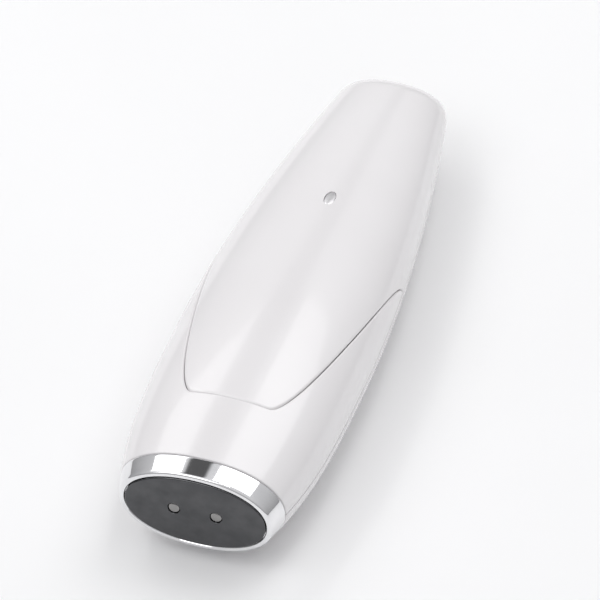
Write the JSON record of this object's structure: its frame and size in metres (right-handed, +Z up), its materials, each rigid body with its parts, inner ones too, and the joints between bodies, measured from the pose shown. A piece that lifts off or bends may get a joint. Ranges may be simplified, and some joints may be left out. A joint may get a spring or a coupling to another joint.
{
  "type": "skin scrubber",
  "caption": "Handheld ultrasonic skin scrubber with a pearl-white oval body, chrome base band, dark mirror end and a long tongued cap over its steel spatula.",
  "frame": {"origin": "on the surface that the part lies on, under the middle of its bounding box", "axes": "+Y from the base end to the cap's tip, +X to the right seen from the base end with the front up, +Z up out of the front face"},
  "size_m": [0.0468, 0.15, 0.0294],
  "materials": {
    "pearl_plastic": "glossy pearl-white moulded plastic, very slightly warm",
    "chrome": "polished chrome plating",
    "smoked_mirror": "dark mirror-polished plate",
    "contact_metal": "dark nickel-plated contact metal",
    "stainless_steel": "fine satin stainless steel",
    "screw_steel": "plain machined steel",
    "brass": "plated contact metal",
    "copper": "bare copper sheet",
    "aluminium": "machined aluminium",
    "ceramic": "matt piezo ceramic",
    "black_plastic": "matt black moulded plastic",
    "grey_silicone": "matt grey silicone",
    "black_rubber": "matt black rubber",
    "circuit_board": "green circuit board",
    "clear_plastic": "clear moulded plastic",
    "battery_foil": "laminated foil pouch",
    "foam": "dark foam",
    "red_wire": "red insulation",
    "black_wire": "black insulation"
  },
  "bodies": {
    "handle": {"front_shell": "pearl_plastic", "back_shell": "pearl_plastic", "neck_ring": "grey_silicone", "base_ring": "chrome", "base_disc": "smoked_mirror", "base_seal": "black_rubber", "charge_contact_left": "contact_metal", "charge_contact_right": "contact_metal", "charge_board": "circuit_board", "base_screw_left": "screw_steel", "base_screw_right": "screw_steel", "neck_screw_left": "screw_steel", "neck_screw_right": "screw_steel", "chassis": "black_plastic", "main_board": "circuit_board", "board_screw_1": "screw_steel", "board_screw_2": "screw_steel", "board_screw_3": "screw_steel", "board_screw_4": "screw_steel", "drive_transformer": "black_plastic", "microcontroller": "black_plastic", "drive_capacitor": "aluminium", "indicator_light_left": "clear_plastic", "indicator_light_middle": "clear_plastic", "indicator_light_right": "clear_plastic", "light_pipe_left": "clear_plastic", "light_pipe_middle": "clear_plastic", "light_pipe_right": "clear_plastic", "battery_cell": "battery_foil", "battery_pad": "foam", "battery_lead_left": "black_wire", "battery_lead_right": "red_wire", "charge_lead_left": "black_wire", "charge_lead_right": "red_wire", "transducer_lead_left": "black_wire", "transducer_lead_right": "red_wire", "switch_body": "black_plastic", "transducer_horn": "aluminium", "piezo_ring_front": "ceramic", "piezo_ring_back": "ceramic", "electrode_ring": "copper", "back_mass": "screw_steel", "stack_bolt": "screw_steel", "isolation_ring": "grey_silicone", "head_collar": "chrome", "head_seal": "grey_silicone", "spatula_blade": "stainless_steel", "back_electrode": "stainless_steel", "electrode_contact_pin": "brass"},
    "cap": {"cap_shell": "pearl_plastic", "cap_badge": "chrome"},
    "button": {"button_cap": "pearl_plastic", "switch_plunger": "black_plastic"}
  },
  "joints": [
    {"name": "cap_slide", "type": "slide", "parent": "handle", "child": "cap", "axis": [0, 1, 0], "range_m": [0, 0.12]},
    {"name": "button_press", "type": "slide", "parent": "handle", "child": "button", "axis": [0, 0, -1], "range_m": [0, 0.0005], "stiffness_N_per_m": 3000}
  ]
}
